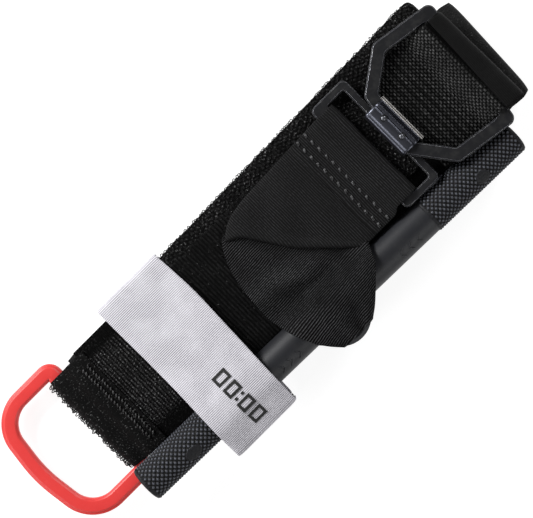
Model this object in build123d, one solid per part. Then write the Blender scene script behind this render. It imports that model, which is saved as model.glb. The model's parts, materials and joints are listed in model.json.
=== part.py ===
from build123d import *

import math
import os

# A strap tourniquet folded flat for storage. Millimetres.
# +X runs along the folded belt towards the buckle, +Y is the side away from the windlass,
# +Z is up, and the underside of the lowest belt layer lies on Z = 0.

# --- belt: one long strap folded into five layers -------------------------------------------
BELT_T = 2.0
BELT_Y = (-8.0, 30.0)
LAYER_MID_Z = (1.0, 4.4, 6.7, 9.0, 11.3)
BELT_LEFT = -65.0
LOWER_LEFT_FOLD_X = -57.5
UPPER_LEFT_FOLD_X = -44.0
INNER_RIGHT_FOLD_X = 86.0
OUTER_RIGHT_END = 97.5
PANEL_T = 0.6
BELT_TOP = LAYER_MID_Z[4] + BELT_T / 2
PANEL_TOP = BELT_TOP + PANEL_T

# --- pull ring and its tab --------------------------------------------------------------------
RING_AXIS = (-71.3, 3.85)
RING_BAR_R = 1.7
RING_ARM_W = 5.3
RING_T = 3.6
RING_Y = (-15.6, 33.0)
RING_INNER_EDGE_X = -69.0
RING_SHOULDER_X = -96.2
RING_TIP_X = -99.6
RING_CORNER_R = 13.0
RING_BOW_R = 50.0
RING_HEEL_R = 3.5
RING_BEVEL = (1.3, 0.8)
TAB_T = 1.5
TAB_Y = (-9.2, 26.5)
TAB_END_X = -60.0
TAB_CREASE_R = 2.0
TAB_STITCH_X = (-63.5, -61.0)

# --- windlass: a rod with a slotted lug --------------------------------------------------------
HUB = (5.5, -18.3, 11.9)
WINDLASS_YAW = -1.28
WINDLASS_PITCH = 1.0
ROD_R = 5.8
GRIP_R = 5.5
ROD_ENDS = (-79.5, 77.5)
GRIP_INNER_ENDS = (-50.5, 40.5)
END_ROUND = 1.2
LUG_R = 9.3
LUG_OFFSET = -3.8
LUG_HALF_BASE = 13.0
LUG_T = 9.2
SLOT_SIZE = (15.0, 4.4)
SLOT_Y = -8.4

# --- time band: a strap round the pack and the windlass ----------------------------------------
BAND_X = (-47.0, -21.5)
BAND_T = 1.0
BAND_SIDE_Y = 31.9
BAND_HINGE_Z = 12.9
BAND_ANCHOR_Z = 2.7
BAND_LIP_Y = -28.4
BAND_OUTER_Y = -30.3
BAND_CLOSURE_T = 0.4
BAND_CLOSURE_Z = (3.4, 7.4)
BAND_HEIGHT = 25.0
MARK_CENTRE = (-33.7, -17.1)
MARK_SIZE = (5.2, 3.6)
MARK_GAP = 1.2
MARK_STROKE = 0.9
MARK_T = 0.12

# --- ribbon: from the frame, over the windlass and into its slot --------------------------------
RIBBON_T = 1.0
RIBBON_Y = (-12.0, 26.0)
RIBBON_LOOP_Y = (-10.3, 26.0)
RIBBON_LOW_Z = 13.5
RIBBON_HIGH_Z = 14.7
RIBBON_END_X = 39.5
RIBBON_STITCH_X = (33.5, 37.0)
HOOD_X = (-8.0, 22.0)
TAIL_X = (-1.0, 12.0)

# --- buckle: frame, hexagonal release ring and clasp --------------------------------------------
FRAME_X = (43.0, 57.5)
FRAME_Y = (-13.3, 29.3)
FRAME_OPENING_X = (48.0, 55.0)
FRAME_OPENING_Y = (-10.7, 26.6)
FRAME_Z = (14.4, 16.6)
HEX_PIVOT = (87.1, 5.0)
HEX_YAW = -8.5
HEX_Z = (17.1, 19.1)
HEX_BAR_W = 4.3
HEX_FRONT_U = -31.45
HEX_SHOULDER_U = -19.7
HEX_FRONT_HALF = 10.9
HEX_HALF = 22.45
HEX_PIVOT_BAR_W = 3.0
LOOP_Y_HALF = 17.5
CLASP_Y = (-0.7, 16.3)
CLASP_T = 0.8
CLASP_Z = 19.6
CLASP_LIP_X = 54.0
CLASP_BAR_X = 61.3
RIVETS = ((57.1, 11.7), (57.1, 3.9))

# --- webbing that holds the release ring ---------------------------------------------------------
WEBBING_T = 1.2
WEBBING_LOOP_R = 2.7
WEBBING_BEND_U = 4.0
WEBBING_END_U = -26.4
SLEEVE_T = 0.4


def block(x, y, z):
    """A box between three pairs of limits."""
    size = [high - low for low, high in (x, y, z)]
    centre = [(low + high) / 2 for low, high in (x, y, z)]
    return Pos(*centre) * Box(*size)


def along_y(profile, y):
    """Extrude an XZ profile between two Y values."""
    return extrude(Plane.XZ.offset(-y[1]) * profile, amount=y[1] - y[0])


def along_x(profile, x):
    """Extrude a YZ profile between two X values."""
    return extrude(Plane.YZ.offset(x[0]) * profile, amount=x[1] - x[0])


def strap(lines, thickness):
    """A strap's section: a centre line thickened by half on each side."""
    return trace(lines, thickness)


def u_turn(x, z_low, z_high, reach):
    """A half circle that joins two layers, bulging by its radius towards reach."""
    middle = (x + reach * (z_high - z_low) / 2, (z_low + z_high) / 2)
    return ThreePointArc((x, z_low), middle, (x, z_high))


def main_belt():
    """The belt: top layer, then down through four folds to the free end in the middle."""
    lowest, second, third, fourth, top = LAYER_MID_Z
    outer_fold_x = OUTER_RIGHT_END - BELT_T / 2 - (fourth - lowest) / 2
    lines = [
        Line((outer_fold_x, top), (UPPER_LEFT_FOLD_X, top)),
        u_turn(UPPER_LEFT_FOLD_X, fourth, top, -1),
        Line((UPPER_LEFT_FOLD_X, fourth), (outer_fold_x, fourth)),
        u_turn(outer_fold_x, lowest, fourth, 1),
        Line((outer_fold_x, lowest), (LOWER_LEFT_FOLD_X, lowest)),
        u_turn(LOWER_LEFT_FOLD_X, lowest, second, -1),
        Line((LOWER_LEFT_FOLD_X, second), (INNER_RIGHT_FOLD_X, second)),
        u_turn(INNER_RIGHT_FOLD_X, second, third, 1),
        Line((INNER_RIGHT_FOLD_X, third), (BELT_LEFT, third)),
    ]
    return along_y(strap(lines, BELT_T), BELT_Y)


def loop_panel():
    """Loop pile sewn to the top layer."""
    return block((-20.5, 88.0), (-7.5, 29.5), (BELT_TOP, PANEL_TOP))


def hook_panel():
    """Ribbed hook tape sewn to the free end beside the tab."""
    base = LAYER_MID_Z[2] + BELT_T / 2
    return block((-59.0, -47.5), (-5.0, 23.0), (base, base + PANEL_T))


def pull_tab():
    """Short webbing folded round the pull ring's bar, with the belt's end between its layers."""
    x, z = RING_AXIS
    radius = RING_BAR_R + 0.25 + TAB_T / 2
    belt_z = LAYER_MID_Z[2]
    spread = (BELT_T + TAB_T) / 2 + 0.1
    low = belt_z - spread
    high = belt_z + spread
    lower = FilletPolyline(
        (TAB_END_X - 0.8, low), (x + 5.4, low), (x + 1.8, z - radius), (x, z - radius), radius=TAB_CREASE_R
    )
    bend = ThreePointArc((x, z - radius), (x - radius, z), (x, z + radius))
    upper = FilletPolyline(
        (x, z + radius), (x + 2.3, z + radius), (x + 5.2, high), (TAB_END_X, high), radius=TAB_CREASE_R
    )
    return along_y(strap([lower, bend, upper], TAB_T), TAB_Y)


def stitch_rows(columns, y, z, pitch, size):
    """Rows of raised stitches along Y, one row at each column."""
    count = int((y[1] - y[0]) / pitch)
    stitches = [
        Pos(column, y[0] + (index + 0.5) * pitch, z + size[2] / 2) * Box(*size)
        for column in columns
        for index in range(count)
    ]
    return Compound(children=stitches)


def tab_stitching():
    """Two rows of stitches that hold the tab to the belt."""
    top = LAYER_MID_Z[2] + BELT_T / 2 + 0.1 + TAB_T
    return stitch_rows(TAB_STITCH_X, (-7.0, 23.0), top, 3.0, (0.7, 2.1, 0.3))


def ribbon_stitching():
    """Two rows of stitches that close the ribbon round the frame."""
    top = RIBBON_HIGH_Z + RIBBON_T / 2
    return stitch_rows(RIBBON_STITCH_X, (-11.5, 25.0), top, 2.8, (0.8, 1.9, 0.3))


def pull_ring():
    """D-shaped pull ring: a bevelled curved rim and a round bar inside the tab."""
    low, high = RING_Y
    outline = FilletPolyline(
        (RING_INNER_EDGE_X, high),
        (RING_SHOULDER_X, high),
        (RING_TIP_X, (low + high) / 2),
        (RING_SHOULDER_X, low),
        (RING_INNER_EDGE_X, low),
        radius=(RING_HEEL_R, RING_CORNER_R, RING_BOW_R, RING_CORNER_R, RING_HEEL_R),
        close=True,
    )
    outer = make_face(outline)
    inner = offset(outer, amount=-RING_ARM_W, kind=Kind.INTERSECTION)
    plate = extrude(outer - inner, amount=RING_T / 2, both=True)
    outer_rim = plate.faces().filter_by(Axis.Z).sort_by(Axis.Z)
    long_edges = [face.outer_wire().edges() for face in (outer_rim[0], outer_rim[-1])]
    plate = chamfer(long_edges[0] + long_edges[1], length=RING_BEVEL[1], length2=RING_BEVEL[0])
    x, z = RING_AXIS
    bar_y = (low + RING_ARM_W, high - RING_ARM_W)
    plate -= block((x - 4.0, 0.0), bar_y, (-RING_T, RING_T))
    bar_length = bar_y[1] - bar_y[0] + 2.0
    bar = Pos(x, sum(bar_y) / 2, 0) * Rot(90, 0, 0) * Cylinder(RING_BAR_R, bar_length)
    return Pos(0, 0, z) * (plate + bar)


def rod_section():
    """Half of the rod's outline, to be turned about X."""
    left, right = ROD_ENDS
    grip_left, grip_right = GRIP_INNER_ENDS
    return make_face(
        Polyline(
            (left, 0),
            (left, GRIP_R - END_ROUND),
            (left + END_ROUND, GRIP_R),
            (grip_left - 1.0, GRIP_R),
            (grip_left, ROD_R),
            (grip_right, ROD_R),
            (grip_right + 1.0, GRIP_R + 0.15),
            (right - END_ROUND, GRIP_R + 0.15),
            (right, GRIP_R - END_ROUND),
            (right, 0),
            close=True,
        )
    )


def windlass():
    """Turning rod: two gripped ends and a lug with the ribbon's slot."""
    rod = revolve(rod_section(), Axis.X)
    flare = make_face(
        Polyline(
            (-LUG_HALF_BASE, LUG_OFFSET),
            (-LUG_R * 0.78, LUG_OFFSET - LUG_R * 0.62),
            (LUG_R * 0.78, LUG_OFFSET - LUG_R * 0.62),
            (LUG_HALF_BASE, LUG_OFFSET),
            (LUG_R * 0.8, 6.8),
            (-LUG_R * 0.8, 6.8),
            close=True,
        )
    )
    plan = flare + Pos(0, LUG_OFFSET) * Circle(LUG_R)
    lug = extrude(plan, amount=LUG_T / 2, both=True)
    lug = chamfer(lug.faces().filter_by(Axis.Z).edges(), length=1.2)
    slot = Pos(0, SLOT_Y, 0) * extrude(SlotOverall(*SLOT_SIZE), amount=LUG_T, both=True)
    body = rod + lug - slot
    return Pos(*HUB) * Rot(0, WINDLASS_PITCH, WINDLASS_YAW) * body


def band_anchor():
    """The band's fixed part: up the far side, under the pack and out past the windlass."""
    path = FilletPolyline(
        (BAND_SIDE_Y, BAND_HINGE_Z - 0.3),
        (BAND_SIDE_Y, BAND_ANCHOR_Z),
        (BAND_LIP_Y, BAND_ANCHOR_Z),
        (BAND_LIP_Y, BAND_CLOSURE_Z[1] + 0.2),
        radius=1.4,
    )
    return along_x(strap([path], BAND_T), BAND_X)


def band_flap_path():
    """Centre line of the band's free part, from its hinge over the windlass."""
    over_rod_z = 19.5
    return FilletPolyline(
        (BAND_SIDE_Y - 0.7, BAND_HINGE_Z + 0.8),
        (-13.0, over_rod_z),
        (-20.5, over_rod_z),
        (BAND_OUTER_Y, 15.2),
        (BAND_OUTER_Y, BAND_CLOSURE_Z[0]),
        radius=2.0,
    )


def time_band():
    """The band's free part, which lifts away from the windlass."""
    return along_x(strap([band_flap_path()], BAND_T), BAND_X)


def closure_patch(wall_y, side):
    """A thin patch on one face of a wall that stands at wall_y."""
    near = wall_y + side * BAND_T / 2
    far = near + side * BAND_CLOSURE_T
    return block((BAND_X[0] + 1, BAND_X[1] - 1), (min(near, far), max(near, far)), BAND_CLOSURE_Z)


def time_field():
    """Write-in field for a time: two pairs of empty boxes with a colon between them."""
    stroke = MARK_STROKE
    box = Rectangle(MARK_SIZE[0], MARK_SIZE[1])
    box -= Rectangle(MARK_SIZE[0] - 2 * stroke, MARK_SIZE[1] - 2 * stroke)
    first = MARK_GAP + MARK_SIZE[1] / 2
    steps = [side * (first + index * (MARK_SIZE[1] + MARK_GAP)) for side in (-1, 1) for index in (0, 1)]
    marks = [Pos(MARK_CENTRE[0], MARK_CENTRE[1] + step) * box for step in steps]
    marks += [Pos(MARK_CENTRE[0] + step, MARK_CENTRE[1]) * Rectangle(1.0, 1.0) for step in (-1.3, 1.3)]
    skin = strap([band_flap_path()], BAND_T + 2 * MARK_T) - strap([band_flap_path()], BAND_T)
    skin = along_x(skin, BAND_X)
    printed = [skin & extrude(mark, amount=BAND_HEIGHT) for mark in marks]
    return Compound(children=[print_.solids().sort_by(Axis.Z)[-1] for print_ in printed])


def ribbon_panel_face():
    """Plan outline of the ribbon where it lies on the belt and folds towards the windlass."""
    low = RIBBON_Y[0]
    return make_face(
        Polyline(
            (RIBBON_END_X, low),
            (RIBBON_END_X, RIBBON_Y[1]),
            (25.0, 25.3),
            (3.0, 23.7),
            (-3.0, 19.8),
            (-9.0, 14.0),
            (-10.5, 0.0),
            (HOOD_X[0], low + 1.0),
            (HOOD_X[1], low + 1.0),
            (26.5, low),
            close=True,
        )
    )


def windlass_ribbon():
    """Ribbon: loop round the frame, folded panel, hood over the windlass, tail in the slot."""
    low = RIBBON_LOW_Z
    loop_r = 2.0
    bend_x = FRAME_OPENING_X[0] - 0.7
    loop_lines = [
        Line((RIBBON_END_X - 6.0, low), (bend_x, low)),
        u_turn(bend_x, low, low + 2 * loop_r, 1),
        FilletPolyline(
            (bend_x, low + 2 * loop_r),
            (FRAME_X[0] - 1.4, low + 2 * loop_r),
            (FRAME_X[0] - 4.6, RIBBON_HIGH_Z),
            (RIBBON_END_X - 6.0, RIBBON_HIGH_Z),
            radius=1.5,
        ),
    ]
    loop = along_y(strap(loop_lines, RIBBON_T), RIBBON_LOOP_Y)
    panel_z = RIBBON_LOW_Z - RIBBON_T / 2
    panel = Pos(0, 0, panel_z) * extrude(
        ribbon_panel_face(), amount=RIBBON_HIGH_Z - RIBBON_LOW_Z + RIBBON_T
    )
    slot_y = HUB[1] + SLOT_Y
    hood_path = FilletPolyline(
        (-8.5, 14.1), (-11.5, 17.4), (HUB[1], 19.1), (HUB[1] - 6.2, 17.9), radius=3.0
    )
    tail_path = FilletPolyline(
        (HUB[1], 19.1), (HUB[1] - 6.2, 17.9), (slot_y, 15.5), (slot_y, 4.6), (-8.2, 4.6), radius=1.0
    )
    hood = along_x(strap([hood_path], RIBBON_T), HOOD_X)
    tail = along_x(strap([tail_path], RIBBON_T), TAIL_X)
    return loop + panel + hood + tail


def release_frame():
    """Rectangular frame that the ribbon pulls on."""
    centre = (sum(FRAME_X) / 2, sum(FRAME_Y) / 2)
    opening = (sum(FRAME_OPENING_X) / 2, sum(FRAME_OPENING_Y) / 2)
    outer = Pos(*centre) * RectangleRounded(FRAME_X[1] - FRAME_X[0], FRAME_Y[1] - FRAME_Y[0], 2.0)
    width = FRAME_OPENING_X[1] - FRAME_OPENING_X[0]
    length = FRAME_OPENING_Y[1] - FRAME_OPENING_Y[0]
    inner = Pos(*opening) * RectangleRounded(width, length, 0.9)
    plate = extrude(outer - inner, amount=FRAME_Z[1] - FRAME_Z[0])
    plate = chamfer(plate.faces().filter_by(Axis.Z).edges(), length=0.35)
    return Pos(0, 0, FRAME_Z[0]) * plate


def hex_outline(inset, corner_r):
    """The release ring's plan outline about its pivot, moved in by inset."""
    slant = math.tan(math.radians(22.5)) * inset
    front = HEX_FRONT_U + inset
    back = HEX_BAR_W / 2 - inset
    half = HEX_HALF - inset
    front_half = HEX_FRONT_HALF - slant
    shoulder = HEX_SHOULDER_U + slant
    points = [(front, -front_half), (shoulder, -half), (back, -half)]
    mirrored = [(u, -v) for u, v in reversed(points)]
    return make_face(FilletPolyline(*points, *mirrored, radius=corner_r, close=True))


def hex_place(shape):
    """Put a shape drawn about the release ring's pivot in its place."""
    return Pos(*HEX_PIVOT, 0) * Rot(0, 0, HEX_YAW) * shape


def rivet_shanks(radius, z):
    """The two rivets' shanks between two heights."""
    return [Pos(x, y, sum(z) / 2) * Cylinder(radius, z[1] - z[0]) for x, y in RIVETS]


def release_ring():
    """Hexagonal ring, cut from plate, that turns on its long bar inside the webbing."""
    plate = extrude(hex_outline(0, 2.5) - hex_outline(HEX_BAR_W, 1.6), amount=HEX_Z[1] - HEX_Z[0])
    plate = chamfer(plate.faces().filter_by(Axis.Z).edges(), length=0.4)
    relief_u = (-HEX_BAR_W, HEX_BAR_W)
    relief = block(relief_u, (-LOOP_Y_HALF - 0.6, LOOP_Y_HALF + 0.6), (-1, 4))
    relief -= block((-HEX_PIVOT_BAR_W / 2, HEX_PIVOT_BAR_W / 2), (-30, 30), (-2, 5))
    ring = hex_place(Pos(0, 0, HEX_Z[0]) * (plate - relief))
    for shank in rivet_shanks(0.47, (HEX_Z[0] - 1, HEX_Z[1] + 1)):
        ring -= shank
    return ring


def clasp():
    """Bent sheet on the release ring that hooks over the frame's bar."""
    plate_z = CLASP_Z
    hook = FilletPolyline(
        (CLASP_LIP_X, 14.9), (CLASP_LIP_X, plate_z), (CLASP_BAR_X + 0.3, plate_z), radius=0.9
    )
    body = along_y(strap([hook], CLASP_T), CLASP_Y)
    body -= block((58.4, 58.9), CLASP_Y, (plate_z + 0.15, plate_z + 1))
    for shank in rivet_shanks(0.47, (plate_z - 2, plate_z + 2)):
        body -= shank
    return body


def clasp_rivets():
    """Two rivets that hold the clasp to the release ring."""
    top = CLASP_Z + CLASP_T / 2
    heads = [Pos(x, y, top + 0.15) * Cylinder(0.85, 0.3) for x, y in RIVETS]
    shanks = rivet_shanks(0.45, (HEX_Z[0] + 0.1, top + 0.1))
    return Compound(children=[head + shank for head, shank in zip(heads, shanks)])


def clasp_bar():
    """Polished bar on the clasp's free edge, which a finger pulls to release the buckle."""
    centre_z = CLASP_Z + CLASP_T / 2 + 0.65
    length = CLASP_Y[1] - CLASP_Y[0] + 0.6
    return Pos(CLASP_BAR_X, sum(CLASP_Y) / 2, centre_z) * Rot(90, 0, 0) * Cylinder(0.62, length)


def buckle_webbing():
    """Webbing through the release ring: a long loop round the ring's pivot bar."""
    mid_z = sum(HEX_Z) / 2
    radius = WEBBING_LOOP_R
    low = RIBBON_LOW_Z + 0.1
    high = low + WEBBING_T + 0.1
    under = FilletPolyline(
        (WEBBING_END_U, low), (-6.0, low), (-2.0, mid_z - radius), (WEBBING_BEND_U, mid_z - radius), radius=2.5
    )
    over = FilletPolyline(
        (WEBBING_BEND_U, mid_z + radius), (-1.5, mid_z + radius), (-8.0, high), (WEBBING_END_U, high), radius=2.5
    )
    bend = u_turn(WEBBING_BEND_U, mid_z - radius, mid_z + radius, 1)
    loop = along_y(strap([under, bend, over], WEBBING_T), (-LOOP_Y_HALF, LOOP_Y_HALF))
    return hex_place(loop)


def hem_sleeve():
    """Smooth cloth sleeve over the webbing's bend."""
    mid_z = sum(HEX_Z) / 2
    radius = WEBBING_LOOP_R + (WEBBING_T + SLEEVE_T) / 2 + 0.05
    lines = [
        Line((1.0, mid_z - radius), (WEBBING_BEND_U, mid_z - radius)),
        u_turn(WEBBING_BEND_U, mid_z - radius, mid_z + radius, 1),
        Line((WEBBING_BEND_U, mid_z + radius), (-1.2, mid_z + radius)),
    ]
    half = LOOP_Y_HALF + 0.3
    return hex_place(along_y(strap(lines, SLEEVE_T), (-half, half)))


PIECES = {
    "main_belt": main_belt,
    "loop_panel": loop_panel,
    "hook_panel": hook_panel,
    "pull_tab": pull_tab,
    "tab_stitching": tab_stitching,
    "pull_ring": pull_ring,
    "windlass": windlass,
    "windlass_ribbon": windlass_ribbon,
    "ribbon_stitching": ribbon_stitching,
    "band_anchor": band_anchor,
    "time_band": time_band,
    "band_loop_patch": lambda: closure_patch(BAND_LIP_Y, -1),
    "band_hook_patch": lambda: closure_patch(BAND_OUTER_Y, 1),
    "time_field": time_field,
    "release_frame": release_frame,
    "release_ring": release_ring,
    "clasp": clasp,
    "clasp_rivets": clasp_rivets,
    "clasp_bar": clasp_bar,
    "buckle_webbing": buckle_webbing,
    "hem_sleeve": hem_sleeve,
}


def main():
    os.makedirs("parts", exist_ok=True)
    for name, build in PIECES.items():
        export_step(build(), f"parts/{name}.step")


main()
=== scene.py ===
import json
import math

import bpy
import numpy as np
from mathutils import Matrix, Vector


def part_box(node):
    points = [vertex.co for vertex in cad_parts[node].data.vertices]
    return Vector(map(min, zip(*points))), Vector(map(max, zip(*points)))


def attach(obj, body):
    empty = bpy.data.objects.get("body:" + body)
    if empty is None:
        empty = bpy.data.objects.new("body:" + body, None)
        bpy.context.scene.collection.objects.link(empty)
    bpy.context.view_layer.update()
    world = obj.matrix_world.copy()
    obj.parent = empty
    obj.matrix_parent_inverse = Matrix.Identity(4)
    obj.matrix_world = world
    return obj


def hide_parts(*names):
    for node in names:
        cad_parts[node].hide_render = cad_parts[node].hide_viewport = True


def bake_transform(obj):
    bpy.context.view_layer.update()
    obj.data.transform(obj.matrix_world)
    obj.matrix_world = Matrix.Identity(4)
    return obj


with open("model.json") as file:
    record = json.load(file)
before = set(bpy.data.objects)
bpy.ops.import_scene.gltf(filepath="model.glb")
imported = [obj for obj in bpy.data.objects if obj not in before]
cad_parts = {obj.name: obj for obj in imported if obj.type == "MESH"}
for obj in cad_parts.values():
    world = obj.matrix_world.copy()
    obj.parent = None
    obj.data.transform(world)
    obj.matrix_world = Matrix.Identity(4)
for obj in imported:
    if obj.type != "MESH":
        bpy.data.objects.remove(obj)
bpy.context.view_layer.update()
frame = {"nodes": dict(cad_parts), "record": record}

MM = 0.001
RNG = np.random.default_rng(7)


# --- places taken from the frame, in millimetres ---
def limits(node):
    """A node's lowest and highest corners in millimetres."""
    low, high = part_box(node)
    return np.array(low) / MM, np.array(high) / MM


def joint(name):
    """A joint's row in the record."""
    return next(j for j in frame["record"]["behaviour"]["joints"] if j["name"] == name)


def joint_place(name):
    """A point on a joint's axis in millimetres."""
    return np.array(joint(name)["pos_m"]) / MM


BELT_LOW, BELT_HIGH = limits("main_belt")
PANEL_LOW, PANEL_HIGH = limits("loop_panel")
HUB = joint_place("windlass_turn")
RING_AXIS = joint_place("pull_ring_swing")
BAND_HINGE = joint_place("time_band_peel")
HEX_AXIS = joint_place("release_ring_lift")
HEX_YAW = math.atan2(*joint("release_ring_lift")["axis"][:2])
ROD_YAW = math.radians(-1.28)
ROD_PITCH = math.radians(1.0)
ROD_TURN = Matrix.Rotation(ROD_YAW, 3, "Z") @ Matrix.Rotation(ROD_PITCH, 3, "Y")


# --- shader helpers ---
class Shader:
    """A material whose nodes are added one call at a time."""

    def __init__(self, name):
        self.material = bpy.data.materials.new(name)
        self.material.use_nodes = True
        self.tree = self.material.node_tree
        self.surface = self.tree.nodes["Principled BSDF"]

    def add(self, kind, sockets=(), **settings):
        node = self.tree.nodes.new(kind)
        for key, value in settings.items():
            setattr(node, key, value)
        for key, value in dict(sockets).items():
            self.set(node.inputs[key], value)
        return node

    def set(self, socket, value):
        if isinstance(value, bpy.types.NodeSocket):
            self.tree.links.new(value, socket)
        else:
            socket.default_value = value

    def math(self, operation, first, second=0.0, third=0.0):
        node = self.add("ShaderNodeMath", {0: first, 1: second, 2: third}, operation=operation)
        return node.outputs[0]

    def times(self, first, second):
        return self.math("MULTIPLY", first, second)

    def scaled(self, value, gain, base):
        return self.math("MULTIPLY_ADD", value, gain, base)

    def mix(self, factor, first, second):
        """A blend of two colours, whose sockets are the mix node's seventh and eighth."""
        node = self.add("ShaderNodeMix", data_type="RGBA")
        self.set(node.inputs[0], factor)
        self.set(node.inputs[6], first)
        self.set(node.inputs[7], second)
        return node.outputs[2]

    def ramp(self, value, low, high):
        """A value stretched so that low becomes 0 and high becomes 1."""
        node = self.add("ShaderNodeMapRange", {"Value": value, "From Min": low, "From Max": high})
        return node.outputs[0]

    def place(self):
        """Position on the object in millimetres."""
        coordinates = self.add("ShaderNodeTexCoord").outputs["Object"]
        scaled = self.add("ShaderNodeVectorMath", {0: coordinates, 3: 1000.0}, operation="SCALE")
        return scaled.outputs[0]

    def stored(self):
        """What a piece's mesh stores: millimetres along and across it, and how raised it is."""
        vector = self.add("ShaderNodeAttribute", attribute_name="weave").outputs["Vector"]
        parts = self.add("ShaderNodeSeparateXYZ", {0: vector}).outputs
        flat = self.add("ShaderNodeCombineXYZ", {0: parts[0], 1: parts[1]}).outputs[0]
        return flat, parts[0], parts[1], parts[2]

    def noise(self, vector, scale, detail=3.0, roughness=0.55):
        sockets = {"Vector": vector, "Scale": scale, "Detail": detail, "Roughness": roughness}
        return self.add("ShaderNodeTexNoise", sockets).outputs[0]

    def wave(self, value, pitch):
        """A 0 to 1 wave of the given pitch along a value."""
        turned = self.times(value, 2 * math.pi / pitch)
        return self.scaled(self.math("SINE", turned), 0.5, 0.5)

    def bump(self, height, distance_mm):
        sockets = {"Height": height, "Distance": distance_mm * MM}
        return self.add("ShaderNodeBump", sockets).outputs[0]

    def finish(self, **sockets):
        """Set the surface's sockets, named with underscores, and hand over the material."""
        for key, value in sockets.items():
            self.set(self.surface.inputs[key.replace("_", " ")], value)
        return self.material


def grey(level, tint=(1.0, 1.0, 1.0)):
    """A grey colour with an optional tint."""
    return (level * tint[0], level * tint[1], level * tint[2], 1.0)


def ribbed_cloth(name, dark, light, pitch, thread_pitch, depth, patchy=0.5):
    """Grosgrain and similar: fine ribs across the strap, each wrapped in thread, with a highlight painted
    on the rib tops.
    """
    s = Shader(name)
    place, along, across, _ = s.stored()
    drift = s.noise(place, 0.1, 2.0)
    rib = s.wave(s.scaled(drift, pitch * 1.2, along), pitch)
    thread = s.wave(across, thread_pitch)
    grain = s.noise(place, 1.1, 4.0)
    patch = s.ramp(s.noise(place, 0.06, 2.0), 0.25, 0.7)
    height = s.scaled(thread, 0.2, rib)
    height = s.scaled(grain, 0.3, height)
    # Painted highlight on the tops of the ribs, stronger in random patches, over the cloth's dark colour.
    painted_rib_highlight = s.times(s.math("POWER", rib, 6.0), s.ramp(grain, 0.2, 0.65))
    painted_rib_highlight = s.times(painted_rib_highlight, s.scaled(patch, patchy, 1.0 - patchy))
    return s.finish(
        Base_Color=s.mix(painted_rib_highlight, dark, light),
        Roughness=s.scaled(grain, 0.2, 0.5),
        Normal=s.bump(height, depth),
        Sheen_Weight=0.005,
        Sheen_Roughness=0.5,
        Specular_IOR_Level=0.05,
    )


def nubby_cloth(name, dark, light, glint, pitch, depth, rarity=0.55):
    """Coarse yarn: shade painted dark between its raised bumps, highlights painted on the bumps in short
    fibre-like streaks, and painted glints.
    """
    s = Shader(name)
    place, along, across, raised = s.stored()
    thread = s.times(s.wave(along, pitch), s.wave(across, pitch * 0.8))
    fibre = s.noise(place, 2.6, 5.0, 0.7)
    patch = s.ramp(s.noise(place, 0.09, 2.0), 0.2, 0.7)
    # Painted highlight on the raised bumps, stronger in random patches; the low parts keep the dark colour
    # as painted shade.
    painted_crest_light = s.times(s.math("POWER", raised, 2.0), s.ramp(fibre, 0.3, 0.62))
    painted_crest_light = s.times(painted_crest_light, s.scaled(patch, 0.6, 0.4))
    colour = s.mix(painted_crest_light, dark, light)
    # Painted glints: small bright specks on the raised bumps.
    painted_glint = s.times(s.ramp(s.noise(place, 1.5, 4.0, 0.75), rarity, rarity + 0.1), raised)
    colour = s.mix(s.times(painted_glint, patch), colour, glint)
    height = s.scaled(thread, 0.5, fibre)
    return s.finish(
        Base_Color=colour,
        Roughness=s.scaled(fibre, -0.3, 0.7),
        Normal=s.bump(height, depth),
        Sheen_Weight=0.005,
        Sheen_Roughness=0.5,
        Specular_IOR_Level=0.04,
    )


def band_cloth():
    """Pale write-on strap: fine ribs, with grey shade painted into the valleys between them."""
    s = Shader("band_cloth")
    place, along, across, _ = s.stored()
    rib = s.wave(along, 0.58)
    thread = s.wave(across, 0.62)
    valley_shade_spread = s.noise(place, 0.09, 3.0)
    grain = s.noise(place, 2.2, 3.0)
    # Painted shade: the hollows between the ribs are coloured grey, more in some places than others.
    painted_valley_shade = s.times(s.math("SUBTRACT", 1.0, rib), s.ramp(valley_shade_spread, -0.1, 0.6))
    colour = s.mix(painted_valley_shade, (0.74, 0.725, 0.775, 1.0), (0.13, 0.125, 0.145, 1.0))
    colour = s.mix(s.times(grain, 0.3), colour, (0.5, 0.49, 0.52, 1.0))
    height = s.scaled(thread, 0.3, rib)
    return s.finish(
        Base_Color=colour,
        Roughness=s.scaled(grain, 0.15, 0.7),
        Normal=s.bump(height, 0.06),
        Sheen_Weight=0.1,
        Specular_IOR_Level=0.2,
    )


def thread_finish(name, dark, light):
    """Twisted thread with highlights painted on its strands here and there."""
    s = Shader(name)
    place = s.place()
    twist_and_painted_glint = s.noise(place, 2.6, 3.0)
    # Painted highlight: the strands are coloured light where the noise is high.
    colour = s.mix(s.ramp(twist_and_painted_glint, 0.45, 0.68), dark, light)
    return s.finish(
        Base_Color=colour,
        Roughness=s.scaled(twist_and_painted_glint, 0.2, 0.35),
        Normal=s.bump(twist_and_painted_glint, 0.05),
        Specular_IOR_Level=0.4,
    )


def red_plastic():
    """Satin moulded plastic with faint flow marks and scuffs."""
    s = Shader("red_plastic_finish")
    place = s.place()
    flow = s.noise(place, 0.08, 3.0)
    grain = s.noise(place, 2.5, 4.0)
    scuff = s.ramp(s.noise(place, 0.6, 6.0, 0.7), 0.58, 0.8)
    colour = s.mix(flow, (0.60, 0.03, 0.03, 1.0), (0.70, 0.05, 0.045, 1.0))
    colour = s.mix(s.times(scuff, 0.3), colour, (0.8, 0.1, 0.09, 1.0))
    return s.finish(
        Base_Color=colour,
        Roughness=s.scaled(grain, 0.14, 0.34),
        Normal=s.bump(grain, 0.012),
        Specular_IOR_Level=0.5,
        Subsurface_Weight=0.04,
    )


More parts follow.
